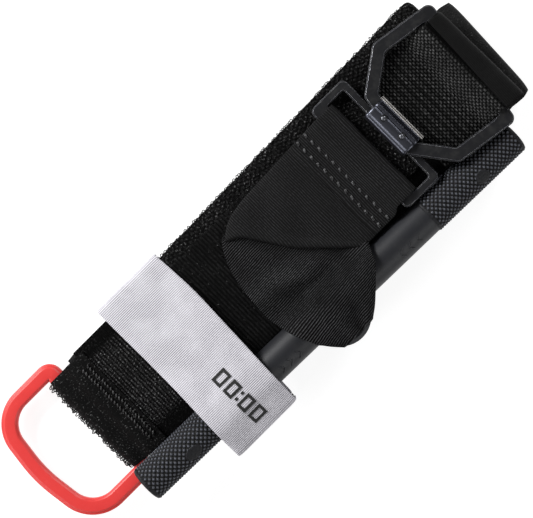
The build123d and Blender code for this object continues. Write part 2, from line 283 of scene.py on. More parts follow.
def dark_plastic():
    """Moulded plastic, blue-black, with fine grain and faint wear."""
    level = 0.015
    s = Shader("dark_plastic_finish")
    place = s.place()
    grain = s.noise(place, 3.5, 4.0)
    wear = s.ramp(s.noise(place, 0.35, 5.0, 0.65), 0.5, 0.85)
    colour = s.mix(s.times(wear, 0.5), grey(level, (0.92, 0.96, 1.15)), grey(level * 1.9))
    return s.finish(
        Base_Color=colour,
        Roughness=s.scaled(grain, 0.16, 0.42),
        Normal=s.bump(grain, 0.02),
        Specular_IOR_Level=0.3,
    )


def coated_metal(name, level, rough, worn):
    """Coating with a fine grain, brighter in places: wear on the black coating, and a painted highlight on
    the bright edge finish.
    """
    s = Shader(name)
    place = s.place()
    grain = s.noise(place, 5.0, 4.0)
    wear_and_highlight_mask = s.ramp(s.noise(place, 0.45, 5.0, 0.6), 0.45, 0.8)
    # Painted highlight for the edge finish; wear for the black coating.
    colour = s.mix(wear_and_highlight_mask, grey(level, (0.95, 0.97, 1.12)), grey(worn))
    return s.finish(
        Base_Color=colour,
        Metallic=0.35,
        Roughness=s.scaled(grain, 0.18, rough),
        Normal=s.bump(grain, 0.01),
        Specular_IOR_Level=0.4,
    )


def knurled_plastic():
    """Moulded plastic: shade painted dark into the grooves and a highlight painted onto the teeth, which
    are also made smoother, as if polished by handling.
    """
    s = Shader("knurled_plastic")
    place, _, _, raised = s.stored()
    grain = s.noise(place, 1.7, 4.0)
    # Painted light: the teeth get a painted highlight and the grooves painted shade; the same mask also
    # lowers the teeth's roughness.
    tooth_polish_and_painted_light = s.times(s.math("POWER", raised, 2.2), s.ramp(grain, 0.1, 0.7))
    colour = s.mix(tooth_polish_and_painted_light, grey(0.001), grey(0.13, (0.92, 0.97, 1.16)))
    return s.finish(
        Base_Color=colour,
        Roughness=s.scaled(tooth_polish_and_painted_light, -0.25, 0.6),
        Normal=s.bump(grain, 0.02),
        Specular_IOR_Level=0.22,
    )


def metal(name, colour, rough, brushed):
    """Bare or plated metal with fine lines along Y."""
    s = Shader(name)
    place = s.place()
    stretched = s.add("ShaderNodeVectorMath", {0: place, 1: (4.0, 0.25, 4.0)}, operation="MULTIPLY")
    lines = s.noise(stretched.outputs[0], 2.0, 4.0, 0.7)
    smear = s.noise(place, 0.4, 3.0)
    shade = s.mix(smear, tuple(c * 0.75 for c in colour[:3]) + (1.0,), colour)
    return s.finish(
        Base_Color=shade,
        Metallic=1.0,
        Roughness=s.scaled(lines, brushed, rough),
        Normal=s.bump(lines, 0.006),
    )


def print_ink():
    """Flat black print with small worn specks."""
    s = Shader("print_ink_finish")
    place = s.place()
    speck = s.ramp(s.noise(place, 3.0, 4.0), 0.35, 0.8)
    colour = s.mix(speck, grey(0.003), grey(0.012))
    return s.finish(Base_Color=colour, Roughness=0.7, Normal=s.bump(speck, 0.01))


def floor_finish():
    """Pale floor that glows a little, so that it stays white round the object."""
    s = Shader("floor_finish")
    grain = s.noise(s.place(), 0.02, 2.0)
    return s.finish(
        Base_Color=s.mix(grain, grey(0.3), grey(0.33)),
        Roughness=0.9,
        Specular_IOR_Level=0.05,
        Emission_Color=grey(1.0),
        Emission_Strength=0.86,
    )


# --- mesh helpers ---
class Shape:
    """Vertices, faces and cloth places gathered from several surfaces."""

    def __init__(self):
        self.points = []
        self.faces = []
        self.weave = []
        self.count = 0

    def add(self, points, faces, weave=None):
        points = np.asarray(points, float).reshape(-1, 3)
        self.points.append(points)
        self.faces.append(np.asarray(faces, int).reshape(-1, 4) + self.count)
        self.weave.append(points if weave is None else np.asarray(weave, float).reshape(-1, 3))
        self.count += len(points)
        return self

    def build(self, name, material):
        """A new object in metres from everything gathered."""
        points = np.concatenate(self.points) * MM
        faces = np.concatenate(self.faces)
        mesh = bpy.data.meshes.new(name)
        mesh.vertices.add(len(points))
        mesh.vertices.foreach_set("co", points.ravel())
        mesh.loops.add(faces.size)
        mesh.loops.foreach_set("vertex_index", faces.ravel())
        mesh.polygons.add(len(faces))
        mesh.polygons.foreach_set("loop_start", np.arange(0, faces.size, 4))
        mesh.polygons.foreach_set("loop_total", np.full(len(faces), 4))
        mesh.polygons.foreach_set("use_smooth", np.full(len(faces), True))
        mesh.update()
        stored = mesh.attributes.new("weave", "FLOAT_VECTOR", "POINT")
        stored.data.foreach_set("vector", np.concatenate(self.weave).ravel())
        mesh.validate()
        mesh.materials.append(material)
        piece = bpy.data.objects.new(name, mesh)
        bpy.context.scene.collection.objects.link(piece)
        return piece


def grid_faces(rows, columns, closed_columns=False):
    """Quads of a grid of points, row by row, with each row joined end to end where it is closed."""
    r = np.arange(rows - 1)
    c = np.arange(columns if closed_columns else columns - 1)
    r, c = np.meshgrid(r, c, indexing="ij")
    c_next = (c + 1) % columns
    quads = [r * columns + c, (r + 1) * columns + c, (r + 1) * columns + c_next, r * columns + c_next]
    return np.stack(quads, axis=-1).reshape(-1, 4)


def points_at(x, y, z):
    """Points from three coordinates, each of them one number or a value for every point."""
    return np.stack(np.broadcast_arrays(x, y, z), axis=-1)


def unit(vectors):
    """Vectors brought to a length of one."""
    length = np.linalg.norm(vectors, axis=-1, keepdims=True)
    return vectors / np.maximum(length, 1e-9)


def running_length(path):
    """The length from a path's start to each of its points."""
    steps = np.linalg.norm(np.diff(path, axis=0), axis=1)
    return np.concatenate([[0.0], np.cumsum(steps)])


def rounded_path(corners, radii, arc_step=0.35, run_step=3.0):
    """Straight runs joined by tangent arcs, as points in two or three dimensions."""
    corners = [np.array(corner, float) for corner in corners]
    knots = [corners[0]]
    for before, corner, after, radius in zip(corners, corners[1:], corners[2:], radii):
        back = unit(before - corner)
        ahead = unit(after - corner)
        turn = math.pi - math.acos(float(np.clip(back @ ahead, -1, 1)))
        if turn < 0.01:
            knots.append(corner)
            continue
        room = 0.499 * min(np.linalg.norm(before - corner), np.linalg.norm(after - corner))
        reach = min(radius * math.tan(turn / 2), room)
        radius = reach / math.tan(turn / 2)
        centre = corner + unit(back + ahead) * radius / math.cos(turn / 2)
        start = corner + back * reach - centre
        end = corner + ahead * reach - centre
        count = max(3, int(radius * turn / arc_step) + 1)
        for part in np.linspace(0, 1, count):
            weight = np.sin((1 - part) * turn), np.sin(part * turn)
            knots.append(centre + (start * weight[0] + end * weight[1]) / math.sin(turn))
    knots.append(corners[-1])
    points = [knots[0]]
    for knot in knots[1:]:
        gap = np.linalg.norm(knot - points[-1])
        if gap < 1e-6:
            continue
        start = points[-1]
        steps = max(1, int(gap / run_step))
        for part in range(1, steps + 1):
            points.append(start + (knot - start) * part / steps)
    return np.array(points)


def curve_through(xs, ys):
    """A smooth function through points whose x values rise, with no overshoot between them."""
    xs = np.array(xs, float)
    ys = np.array(ys, float)
    secants = np.diff(ys) / np.diff(xs)
    before, after = secants[:-1], secants[1:]
    same_way = before * after > 0
    total = np.where(same_way, before + after, 1.0)
    inner = np.where(same_way, 2 * before * after / total, 0.0)
    slopes = np.concatenate([secants[:1], inner, secants[-1:]])

    def value(x):
        x = np.clip(x, xs[0], xs[-1])
        i = np.clip(np.searchsorted(xs, x) - 1, 0, len(xs) - 2)
        h = xs[i + 1] - xs[i]
        t = (x - xs[i]) / h
        first = (2 * t**3 - 3 * t**2 + 1) * ys[i] + (t**3 - 2 * t**2 + t) * h * slopes[i]
        second = (3 * t**2 - 2 * t**3) * ys[i + 1] + (t**3 - t**2) * h * slopes[i + 1]
        return first + second

    return value


def smooth_step(x, low, high):
    """Rises smoothly from 0 at low to 1 at high."""
    t = np.clip((x - low) / (high - low), 0, 1)
    return t * t * (3 - 2 * t)


def ripple(x, seed, wavelength, amount):
    """Gentle irregular wobble along a line."""
    phase = np.random.default_rng(seed).uniform(0, 2 * math.pi, 3)
    waves = [np.sin(2 * math.pi * x / (wavelength * f) + p) / 3 for f, p in zip((1, 0.61, 0.37), phase)]
    return amount * sum(waves)


def as_share(relief, shape):
    """A relief map scaled to run from 0 to 1, or all raised where there is none."""
    if relief is None:
        return np.full(shape, 0.8)
    return (relief - relief.min()) / max(np.ptp(relief), 1e-9)


def cloth_shape(points, along, across, thickness, relief=None, back_relief=None, edge_power=10):
    """Closed sheet of cloth: a grid of middle points, thickened, with rounded selvedges."""
    rows, columns = points.shape[:2]
    normal = unit(np.cross(np.gradient(points, axis=0), np.gradient(points, axis=1)))
    side = 1 - 0.65 * np.abs(across / np.abs(across).max()) ** edge_power
    offset = (thickness / 2 * side)[..., None]
    top = points + normal * (offset + (0 if relief is None else relief[..., None]))
    under = points - normal * (offset + (0 if back_relief is None else back_relief[..., None]))
    count = rows * columns
    faces = [grid_faces(rows, columns), grid_faces(rows, columns)[:, ::-1] + count]
    outline = [
        np.arange(rows) * columns,
        (rows - 1) * columns + np.arange(columns),
        np.arange(rows)[::-1] * columns + columns - 1,
        np.arange(columns)[::-1],
    ]
    for line in outline:
        faces.append(np.stack([line[1:], line[:-1], line[:-1] + count, line[1:] + count], axis=-1))
    # Each point stores its places along and across, and how raised it is from 0 to 1; some finishes use
    # that to paint shade on low points and highlights on high ones.
    stored = [
        np.stack([along, across, as_share(height, along.shape)], axis=-1).reshape(-1, 3)
        for height in (relief, back_relief)
    ]
    both = np.concatenate([top.reshape(-1, 3), under.reshape(-1, 3)])
    return Shape().add(both, np.concatenate(faces), np.concatenate(stored))


def strap_points(path, width, columns, sideways=(0.0, 1.0, 0.0)):
    """Grid of a flat strap: a line of points swept sideways, with its places along and across."""
    c = np.linspace(-width / 2, width / 2, columns)
    points = path[:, None, :] + c[None, :, None] * np.array(sideways)
    along, across_place = np.meshgrid(running_length(path), c, indexing="ij")
    return points, along, across_place


def tube(shape, points, radius, sides=6):
    """Round thread along a line of points, closed at both ends, added to a shape."""
    points = np.asarray(points, float)
    ahead = unit(np.gradient(points, axis=0))
    helper = np.array([0.31, 0.17, 0.94])
    first = unit(np.cross(ahead, helper))
    second = np.cross(ahead, first)
    angle = np.linspace(0, 2 * math.pi, sides, endpoint=False)
    ring = np.cos(angle)[None, :, None] * first[:, None] + np.sin(angle)[None, :, None] * second[:, None]
    size = np.full(len(points), radius)
    size[[0, -1]] = radius * 0.3
    body = points[:, None] + ring * size[:, None, None]
    faces = grid_faces(len(points), sides, closed_columns=True)[:, ::-1]
    last = (len(points) - 1) * sides
    caps = []
    for k in range(1, sides - 2, 2):
        caps.append([0, k, k + 1, k + 2])
        caps.append([last, last + k + 2, last + k + 1, last + k])
    shape.add(body, np.concatenate([faces, np.array(caps)]))


def fuzz(shape, seed):
    """Random lumps from 0 to 1, one per grid point, softened a little."""
    field = np.random.default_rng(seed).random(shape)
    for axis in (0, 1):
        field = 0.5 * field + 0.25 * (np.roll(field, 1, axis) + np.roll(field, -1, axis))
    return np.clip((field - field.mean()) / (field.std() * 3) + 0.5, 0, 1)


def stagger(along, across, pitch_along, pitch_across, power=1.0):
    """Rows of rounded bumps, every second row moved by half a pitch, from 0 to 1."""
    row = np.floor(along / pitch_along)
    shift = (row % 2) * 0.5
    a = np.sin(math.pi * (along / pitch_along - row))
    c = np.abs(np.sin(math.pi * (across / pitch_across + shift)))
    return (np.maximum(a, 0) * c) ** power


# --- finishes ---
COOL = (1.0, 1.0, 1.05)
# One ribbon cloth in two copies: the lower ribbon's with bright painted highlights on its ribs and darker
# hollows, the upper ribbon's with dim painted highlights and shallower ribs.
RIBBON = ribbed_cloth("ribbon_finish", grey(0.0005), grey(0.11, COOL), 0.72, 0.5, 0.12, 0.85)
SMOOTH_RIBBON = ribbed_cloth("smooth_ribbon_finish", grey(0.006), grey(0.045, COOL), 0.72, 0.5, 0.05)
HEM = ribbed_cloth("hem_finish", grey(0.005), grey(0.016), 0.5, 0.5, 0.03)
BELT = nubby_cloth("belt_finish", grey(0.002), grey(0.035), grey(0.2), 0.9, 0.12, 0.6)
WEBBING = nubby_cloth("webbing_finish", grey(0.001), grey(0.22), grey(0.2), 0.7, 0.08)
PILE = nubby_cloth("pile_finish", grey(0.001), grey(0.04), grey(0.5), 0.5, 0.10, 0.57)
PLY = nubby_cloth("ply_finish", grey(0.001), grey(0.02), grey(0.1), 0.6, 0.06, 0.66)
TAB_PILE = nubby_cloth("tab_pile_finish", grey(0.001), grey(0.01), grey(0.45), 0.4, 0.08, 0.6)
TAPE = nubby_cloth("tape_finish", grey(0.001), grey(0.08), grey(0.5), 0.6, 0.06)
BAND = band_cloth()
THREAD = thread_finish("stitch_finish", grey(0.006), grey(0.12, (1.0, 1.0, 1.04)))
TAB_THREAD = thread_finish("tab_thread_finish", grey(0.003), grey(0.09))
LOOSE_PILE = thread_finish("loose_pile_finish", grey(0.002), grey(0.03))
RED = red_plastic()
PLASTIC = dark_plastic()
KNURL = knurled_plastic()
COATING = coated_metal("coating_finish", 0.012, 0.4, 0.03)
# Painted highlight: a bright copy of the coating, laid on the rounded edges of the release frame and ring.
EDGE_HIGHLIGHT = coated_metal("painted_edge_highlight_finish", 0.25, 0.22, 0.7)
GUNMETAL = metal("gunmetal_finish", (0.115, 0.12, 0.145, 1.0), 0.32, 0.15)
RIVET = metal("rivet_finish", (0.19, 0.195, 0.215, 1.0), 0.4, 0.1)
POLISHED = metal("polished_finish", (0.3, 0.29, 0.28, 1.0), 0.36, 0.1)
INK = print_ink()


def place_piece(shape, name, material, body, replaced=()):
    """Build a shape as a piece that rides on a body."""
    piece = shape.build(name, material)
    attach(piece, body)
    if replaced:
        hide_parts(*replaced)
    return piece


# --- belt ---
# The middle heights of the belt's five layers, from the lowest one up.
LAYERS = (1.0, 4.4, 6.7, 9.0, 11.3)
BELT_WIDTH = 38.2
BELT_HALF = BELT_WIDTH / 2


def rod_height(x):
    """Height of the rod's middle line at a place along the belt."""
    return HUB[2] - (x - HUB[0]) * math.tan(ROD_PITCH)


def beside_rod(points, low_side):
    """Press a strap's low edge back where the rod lies against it, with room for the rod's play."""
    x, y, z = np.moveaxis(points, -1, 0)
    play = math.radians(joint("windlass_turn")["range_deg"][1])
    rod_reach = 6.2
    half_layer = 1.3
    clearance = 0.5
    gap = np.maximum(np.abs(z - rod_height(x)) - half_layer, 0)
    half = np.sqrt(np.clip(rod_reach**2 - gap**2, 0, None))
    side = HUB[1] + (x - HUB[0]) * (math.tan(ROD_YAW) + math.tan(play)) + half + clearance
    near = (gap < rod_reach) * smooth_step(x, 36.0, 39.0) * (1 - smooth_step(x, 84.0, 86.5))
    pressed = np.maximum(y, side)
    points[..., 1] = np.where(low_side, y + (pressed - y) * near, y)


def belt_line():
    """The belt's middle line through its five layers, each at its own place in Y."""
    lowest, second, third, fourth, top = LAYERS
    right = BELT_HIGH[0] - 0.6
    inner = 88.4
    left = -46.2
    lower_left = -59.7
    corners = [
        (89.6, top), (left, top), (left, fourth), (right, fourth), (right, lowest),
        (lower_left, lowest), (lower_left, second), (inner, second), (inner, third), (BELT_LOW[0], third),
    ]
    tight, wide, lower = 1.15, 3.0, 1.7
    radii = [tight, tight, wide, wide, lower, lower, tight, tight]
    middles = (13.2, 10.6, 10.6, 4.6, 4.6, 4.8, 4.8, 5.0, 5.0, 9.0)
    path = rounded_path(corners, radii, run_step=2.5)
    ends = running_length(np.array(corners))
    length = running_length(path) * ends[-1] / running_length(path)[-1]
    return points_at(path[:, 0], np.interp(length, ends, middles), path[:, 1]), length[-1]


def folded_belt():
    """The belt in one piece: five layers with their folds, each layer at its own small angle."""
    line, length = belt_line()
    points, along, across = strap_points(line, BELT_WIDTH, 60)
    far = np.clip(across, 0, None) / BELT_HALF
    near = np.clip(-across, 0, None) / BELT_HALF
    edge = np.abs(across) / BELT_HALF
    points[..., 1] += edge**6 * ripple(along, 3, 23.0, 0.35) * np.sign(across)
    points[..., 1] -= 2.8 * near * smooth_step(along, length - 18.0, length - 6.0)
    points[..., 1] -= 0.7 * across / BELT_HALF * smooth_step(points[..., 0], 91.5, 97.0) ** 2
    points[..., 1] -= far * rounded_corner(along, 0.0)
    fold_lean = 0.045
    points[..., 0] += fold_lean * (across + BELT_HALF) * smooth_step(points[..., 0], 90.0, 97.0)
    beside_rod(points, across < 0)
    shape = cloth_shape(points, along, across, 1.95)
    piece = place_piece(shape, "folded_belt", BELT, "belt", ["main_belt"])


def rounded_corner(place, end, radius=2.4):
    """How far a strap's edge draws in near its end, to round the corner off."""
    depth = np.clip((radius - np.abs(place - end)) / radius, 0, 1)
    return radius * 0.8 * (1 - np.sqrt(1.0001 - depth**2))


def top_layer_y(x):
    """The middle line of the belt's top layer."""
    return 10.6 + (x + 46.0) * 0.0193


def pile_panel():
    """Loop pile on the belt's top layer, with knitted loops that show along its far edge."""
    end = 89.3
    x = np.linspace(-23.0, end, 360)
    path = points_at(x, top_layer_y(x), PANEL_LOW[2] + 0.25)
    points, along, across = strap_points(path, BELT_WIDTH + 0.3, 120)
    far = np.clip(across, 0, None) / 19
    points[..., 1] += far * ripple(along, 5, 31.0, 0.15)
    points[..., 1] -= far * rounded_corner(points[..., 0], end)
    loops = stagger(across + 0.5 * along, along - 0.3 * across, 1.3, 1.6, 0.7)
    relief = 0.5 * loops * (0.4 + 0.6 * fuzz(along.shape, 12))
    shape = cloth_shape(points, along, across, 0.7, relief, edge_power=14)
    piece = place_piece(shape, "pile_panel", PILE, "belt", ["loop_panel"])


def ribbed_ply():
    """Ribbed ply on the pile, between the write-on band and the ribbon, out to the windlass."""
    rib_pitch = 1.16
    x = np.linspace(-23.5, 30.0, 360)
    path = points_at(x, 6.9, PANEL_HIGH[2] + 0.12)
    points, along, across = strap_points(path, 38.0, 110)
    points[..., 1] += np.clip(across, 0, None) / 19 * ripple(along, 8, 17.0, 0.5)
    rib = np.abs(np.sin(math.pi * along / rib_pitch)) ** 0.8
    relief = 0.28 * rib * (0.55 + 0.45 * fuzz(along.shape, 13))
    shape = cloth_shape(points, along, across, 0.3, relief, edge_power=14)
    piece = place_piece(shape, "ribbed_ply", PLY, "belt")


def tape_panel():
    """Hook tape beside the tab: ribs of small hooks, with smooth borders where it is sewn."""
    rib_pitch = 1.09
    hook_pitch = 0.77
    width = 40.0
    x = np.linspace(-62.0, -44.0, 150)
    path = points_at(x, 8.5, LAYERS[2] + 1.25)
    points, along, across = strap_points(path, width, 210)
    inside = smooth_step(across, -15.5, -13.0) * (1 - smooth_step(across, 13.5, 16.0))
    row = np.abs(np.sin(math.pi * along / rib_pitch))
    shift = 0.5 * np.floor(along / rib_pitch)
    hook = 0.35 + 0.65 * np.abs(np.sin(math.pi * (across / hook_pitch + shift)))
    relief = inside * 0.5 * row * hook * (0.5 + 0.5 * fuzz(along.shape, 14))
    relief += 0.06 * (1 - inside) * fuzz(along.shape, 15)
    shape = cloth_shape(points, along, across, 0.6, relief)
    piece = place_piece(shape, "tape_panel", TAPE, "belt", ["hook_panel"])


# --- tab and pull ring ---
TAB_Y = (-9.9, 27.0)


def tab_path():
    """The tab's middle line: round the ring's bar, then along both faces of the belt's end."""
    x, _, z = RING_AXIS
    radius = 2.7
    crease = 2.0
    lower = LAYERS[2] - 1.85
    upper = LAYERS[2] + 1.85
    corners = [
        (-60.8, lower), (x + 5.4, lower), (x + 1.8, z - radius), (x - radius, z - radius),
        (x - radius, z + radius), (x + 2.3, z + radius), (x + 5.2, upper), (-59.6, upper),
    ]
    radii = [crease, crease, radius, radius, crease, crease]
    return rounded_path(corners, radii, arc_step=0.25, run_step=0.3)


def pull_tab():
    """Short pile-faced webbing that holds the pull ring."""
    path = tab_path()
    width = TAB_Y[1] - TAB_Y[0]
    line = points_at(path[:, 0], sum(TAB_Y) / 2, path[:, 1])
    points, along, across = strap_points(line, width, 150)
    flare = 0.12 * np.clip(points[..., 0] + 76.0, 0, 9.0)
    points[..., 1] -= flare * np.clip(-across, 0, None) / width * 2
    relief = 0.5 * fuzz(along.shape, 16) * (0.6 + 0.4 * stagger(along, across, 1.0, 1.1))
    shape = cloth_shape(points, along, across, 1.3, None, relief)
    piece = place_piece(shape, "pile_tab", TAB_PILE, "belt", ["pull_tab"])


def thread_loops(shape, root, outward, sideways, reach, width, radius):
    """One loose loop of pile: out from its root and back."""
    turn = np.linspace(0, math.pi, 8)[:, None]
    path = root + np.sin(turn) * outward * reach - np.cos(turn) * sideways * width
    path = path + np.sin(2 * turn) * np.array([0, 0, 0.35])
    tube(shape, path, radius, 5)


def tab_fringe():
    """Loose pile loops along the tab's fold."""
    shape = Shape()
    x, _, z = RING_AXIS
    for y in np.arange(TAB_Y[0] + 0.6, TAB_Y[1] - 1.0, 0.4):
        root = np.array([x - 2.9, y, z]) + (0, RNG.uniform(-0.3, 0.3), RNG.uniform(-0.9, 1.4))
        reach, width = RNG.uniform(0.7, 1.7), RNG.uniform(0.35, 0.75)
        thread_loops(shape, root, np.array([-1.0, 0, 0]), np.array([0, 1.0, 0]), reach, width, 0.17)
    place_piece(shape, "tab_fringe", LOOSE_PILE, "belt")


def edge_fringe():
    """Short pile loops along the top layer's far edge."""
    shape = Shape()
    for x in np.arange(-20.5, 86.5, 0.75):
        y = top_layer_y(x) + BELT_WIDTH / 2
        root = np.array([x, y - 0.2, PANEL_LOW[2] + RNG.uniform(0.0, 0.6)])
        reach, width = RNG.uniform(0.2, 0.9), RNG.uniform(0.3, 0.6)
        thread_loops(shape, root, np.array([0, 1.0, 0]), np.array([1.0, 0, 0]), reach, width, 0.15)
    place_piece(shape, "edge_fringe", LOOSE_PILE, "belt")


def stitch_row(shape, x, y_range, z, pitch, size, slant, radius):
    """One row of short raised stitches along Y, each an arch of two strands."""
    for y in np.arange(y_range[0], y_range[1], pitch):
        reach = size * RNG.uniform(0.85, 1.15)
        part = np.linspace(0, 1, 9)[:, None]
        start = np.array([x - slant, y, z - 0.12]) + RNG.uniform(-0.12, 0.12, 3) * (1, 1, 0)
        ahead = np.array([2 * slant, reach, 0])
        arch = np.sin(math.pi * part) * np.array([0, 0, 0.4])
        for strand in (-0.7 * radius, 0.7 * radius):
            tube(shape, start + ahead * part + arch + (strand, 0, 0), radius)


def seams(name, material, node, columns, **row):
    """Parallel rows of stitches through a strap, in place of a CAD node's plain ones."""
    shape = Shape()
    for x in columns:
        stitch_row(shape, x, **row)
    place_piece(shape, name, material, "belt", [node])


RING_BAR_R = 1.7
RING_HALF_WIDTH = 2.65

# The upper half of the ring's section, from its outer side with a low step to its inner side.
RING_SECTION = (
    (-RING_HALF_WIDTH, 0.0), (-2.63, 0.9), (-2.5, 1.1), (-2.3, 1.2), (-1.95, 1.22), (-1.85, 1.28),
    (-1.55, 1.68), (-1.4, 1.78), (-1.2, 1.8), (1.6, 1.8), (1.75, 1.78), (1.9, 1.7), (2.4, 1.2),
    (2.55, 1.0), (RING_HALF_WIDTH, 0.6), (RING_HALF_WIDTH, 0.0),
)


def rim_path():
    """The ring's middle line in plan, from inside the tab's fold round to the other side."""
    low, high = limits("pull_ring")
    heel = RING_AXIS[0] - 0.2
    shoulder = low[0] + 5.0
    bottom, top = low[1] + RING_HALF_WIDTH, high[1] - RING_HALF_WIDTH
    bow = (low[0] + 2.15, (bottom + top) / 2)
    corners = [
        (heel, bottom + 4.0), (heel, bottom), (shoulder, bottom), bow,
        (shoulder, top), (heel, top), (heel, top - 4.0),
    ]
    heel_r, corner_r, bow_r = 2.4, 11.0, 47.0
    return rounded_path(corners, [heel_r, corner_r, bow_r, corner_r, heel_r], run_step=0.8)


def ring_piece():
    """Moulded pull ring: a flat face, a low step outside it, and the bar inside the tab."""
    path = rim_path()
    ahead = unit(np.gradient(path, axis=0))
    inward = np.stack([ahead[:, 1], -ahead[:, 0]], axis=-1)
    upper = np.array(RING_SECTION)
    lower = upper[::-1][1:-1] * (1, -1)
    section = np.concatenate([upper, lower])
    plan = path[:, None] + inward[:, None] * section[None, :, :1]
    points = points_at(plan[..., 0], plan[..., 1], RING_AXIS[2] + section[:, 1])
    shape = Shape().add(points, grid_faces(*plan.shape[:2], closed_columns=True))
    bar = np.linspace(path[0, 1] - 2.0, path[-1, 1] + 2.0, 12)
    tube(shape, points_at(RING_AXIS[0], bar, RING_AXIS[2]), RING_BAR_R, 24)
    place_piece(shape, "ring_rim", RED, "pull_ring", ["pull_ring"])


# --- windlass ---
TEETH_ROUND = 20
MARK_RADIUS = 5.84


def windlass_points(x, angle, radius):
    """Points on the rod, from places along and round it in the rod's own frame."""
    local = np.stack([x, radius * np.cos(angle), radius * np.sin(angle)], axis=-1)
    return local @ np.array(ROD_TURN).T + HUB


def grip(name, start, end, core, pitch, spot):
    """Knurled sleeve just above the rod: crossed grooves leave small teeth round a smooth spot."""
    x = np.linspace(start, end, int((end - start) / 0.16))
    angle = np.linspace(0, 2 * math.pi, 11 * TEETH_ROUND, endpoint=False)
    x, angle = np.meshgrid(x, angle, indexing="ij")
    turns = angle * TEETH_ROUND / (2 * math.pi)
    lattice = np.cos(2 * math.pi * (x - start) / pitch) + np.cos(2 * math.pi * turns)
    tooth = np.clip(0.58 * np.abs(lattice), 0, 1) ** 1.2
    spot_x, spot_angle, spot_size = spot
    reach = np.hypot((x - spot_x) / spot_size[0], (angle - spot_angle) * core / spot_size[1])
    smooth = 1 - smooth_step(reach, 0.9, 1.1)
    rim = 1 - smooth_step(x, start + 1.0, start + 1.4) * (1 - smooth_step(x, end - 1.4, end - 1.0))
    raised = np.maximum(np.maximum(tooth, 0.85 * smooth), 0.8 * rim)
    end_round = 0.9
    from_end = np.minimum(x - start, end - x) / end_round
    ends = np.sqrt(np.clip(1 - np.clip(1 - from_end, 0, 1) ** 2, 0, 1))
    groove, tooth_height = 0.33, 0.5
    radius = core - 0.3 + (groove + tooth_height * raised) * ends
    # How raised each tooth is, stored for the finish to paint shade in the grooves and a highlight on the
    # teeth; the smooth spot and rims get a middle value.
    stored = points_at(x, angle * core, np.where(smooth + rim > 0.5, 0.35, tooth))
    faces = grid_faces(*x.shape, closed_columns=True)[:, ::-1]
    shape = Shape().add(windlass_points(x, angle, radius), faces, stored)
    place_piece(shape, name, KNURL, "windlass")


def hub_marks():
    """Small raised chevrons on the smooth part of the rod, pointing to the lug."""
    shape = Shape()
    part = np.linspace(0, 1, 7)
    for centre, side in ((31.0, -1), (-21.5, 1)):
        for step in (-3.4, 0.0, 3.4):
            for leg in (-1, 1):
                x = centre + step + side * (1 - part) * 1.5
                angle = math.radians(122) + leg * part * 0.27
                tube(shape, windlass_points(x, angle, np.full_like(x, MARK_RADIUS)), 0.22)
    place_piece(shape, "windlass_marks", PLASTIC, "windlass")


# --- ribbon ---
RIBBON_WIDTH = 38.0

# The mitre fold's X at each Y, and the upper ribbon's far edge, as Y at each X.
MITRE = curve_through(
    (-12.0, -5.5, -0.5, 3.5, 8.0, 14.0, 17.5, 19.9), (26.5, 20.0, 15.0, 11.0, 8.0, 4.0, 1.5, -3.2)
)
RIBBON_TOP = curve_through((-3.2, -1.0, 3.0, 10.0, 25.0, 38.0), (19.9, 21.6, 23.6, 24.7, 25.4, 26.0))
RIBBON_LOW_Y = -12.0
PANEL_X = 31.0
PANEL_Z = 15.0


def ribbon_row_y(share, x):
    """Height in Y of a row of the upper ribbon, from its low selvedge to its top one."""
    return RIBBON_LOW_Y + share * (RIBBON_TOP(x) - RIBBON_LOW_Y)


def mitre_x(share):
    """Where each row of the upper ribbon meets the mitre fold."""
    low = np.full_like(share, -3.2)
    high = np.full_like(share, PANEL_X)
    for _ in range(40):
        middle = (low + high) / 2
        inside = middle > MITRE(ribbon_row_y(share, middle))
        high = np.where(inside, middle, high)
        low = np.where(inside, low, middle)
    return (low + high) / 2


def frame_loop_rows(share):
    """Rows of the ribbon from under the frame's bar, round it and left to the flat panel."""
    bar_end = 49.3
    low, high = 13.5, 17.5
    corners = [(35.0, low), (bar_end, low), (bar_end, high), (41.4, high), (37.6, 15.1), (PANEL_X, PANEL_Z)]
    loop = rounded_path(corners, [2.0, 2.0, 2.2, 2.5], run_step=0.6)
    in_frame = (-10.4, 26.3)
    rows = []
    for x, z in loop:
        y = ribbon_row_y(share, np.full_like(share, min(x, 38.0)))
        y = y + smooth_step(x, 38.5, 42.0) * (np.clip(y, *in_frame) - y)
        rows.append(points_at(x, y, z))
    places = [np.full_like(share, place) for place in running_length(loop)]
    return rows, places


def mitred_panel_rows(share, start):
    """Rows of the panel out to the mitre: a dip at the seam, a soft puff, and a lip at the fold."""
    end_x = mitre_x(share)
    rows = []
    places = []
    for part in np.linspace(0, 1, 90)[1:]:
        x = PANEL_X + (end_x - PANEL_X) * part
        y = ribbon_row_y(share, x)
        puff = 0.8 * np.sin(math.pi * part**0.8) * np.sin(math.pi * share) ** 0.6
        wave = 0.25 * np.sin(x * 0.25 + y * 0.2 + 1.0) + 0.12 * np.sin(x * 0.37 - y * 0.33)
        dip = -0.35 * np.exp(-(((x - PANEL_X) / 1.6) ** 2))
        lip = 0.8 * np.exp(-(((1 - part) / 0.12) ** 2)) * np.sin(math.pi * share) ** 0.5
        z = PANEL_Z + 0.3 * part + dip + lip + (puff + wave) * smooth_step(part, 0.05, 0.4)
        rows.append(points_at(x, y, z))
        places.append(start + (PANEL_X - x))
    return rows, places


def folded_under_rows(edge, start):
    """Rows that turn under along the mitre and lie back below the panel."""
    out = unit(np.array([-0.75, -0.6, 0.0]))
    fold_r = 0.62
    rows = []
    for turn in np.linspace(0, math.pi, 9)[1:]:
        rows.append(edge + out * fold_r * math.sin(turn) - (0, 0, fold_r * (1 - math.cos(turn))))
    places = [start + fold_r * turn for turn in np.linspace(0, math.pi, 9)[1:]]
    for step in np.linspace(0.5, 4.0, 6):
        rows.append(rows[-1] - out * 0.7)
        places.append(start + fold_r * math.pi + step)
    return rows, places


